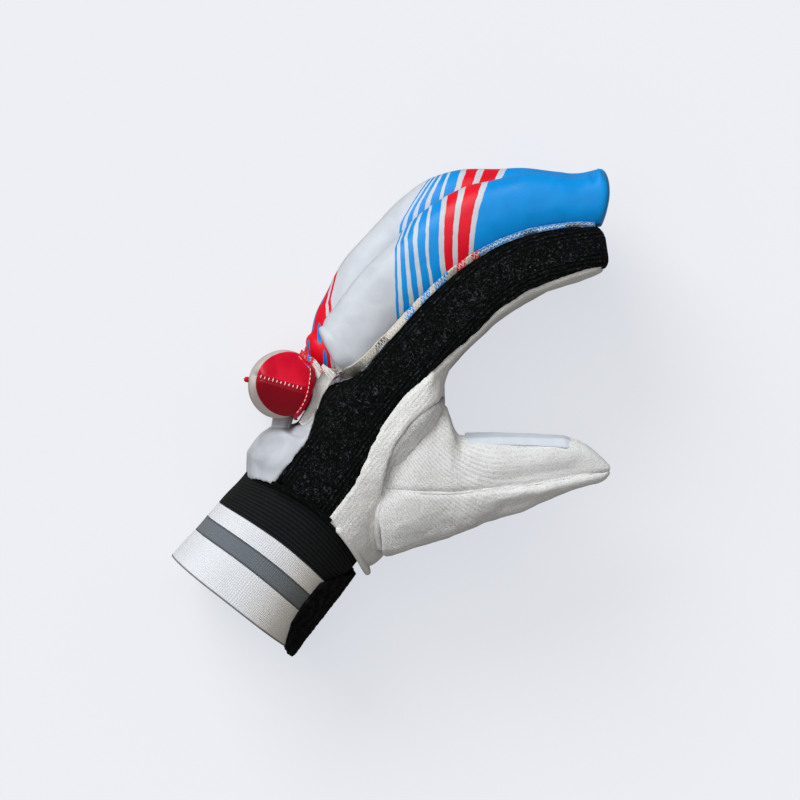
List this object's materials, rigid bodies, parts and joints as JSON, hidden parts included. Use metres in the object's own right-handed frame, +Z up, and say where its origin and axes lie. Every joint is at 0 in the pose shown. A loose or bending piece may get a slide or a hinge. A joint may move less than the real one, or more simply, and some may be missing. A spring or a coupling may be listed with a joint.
{
  "type": "cricket batting glove",
  "caption": "Padded batting glove for the left hand, open at the wrist, with finger rolls, a knuckle bar, mesh side walls, a knitted palm and thumb, and a closing strap.",
  "frame": {"origin": "middle of the glove's box on the ground that it lies on, little-finger side down", "axes": "+Y from the wrist to the fingers, +X towards the palm side, +Z up towards the thumb side"},
  "size_m": [0.16, 0.2686, 0.099],
  "materials": {
    "knit": "matte white knit",
    "smooth_patch": "matte smooth patch",
    "coated_back": "satin white coated cloth",
    "mesh": "matte black net",
    "printed_roll": "glossy white coated cloth printed with blue and red bands",
    "red_roll": "glossy red coated cloth",
    "ribbed_elastic": "matte black ribbed elastic",
    "striped_web": "matte webbing in white and grey",
    "hook_and_loop": "matte black loop pile"
  },
  "bodies": {
    "root": {"palm_panel": "knit", "thumb_upper": "knit", "thumb_lower": "knit", "thumb_patch": "smooth_patch", "back_panel": "coated_back", "little_side_gusset": "mesh", "index_side_gusset": "mesh", "fourchette_little_ring": "mesh", "fourchette_ring_middle": "mesh", "fourchette_middle_index": "mesh", "knuckle_bar": "red_roll", "wrist_elastic": "ribbed_elastic", "wrist_strap": "striped_web", "strap_closure": "hook_and_loop", "finger_roll_little": "printed_roll", "finger_roll_ring": "printed_roll", "finger_roll_middle": "printed_roll", "finger_roll_index": "printed_roll"}
  },
  "joints": []
}
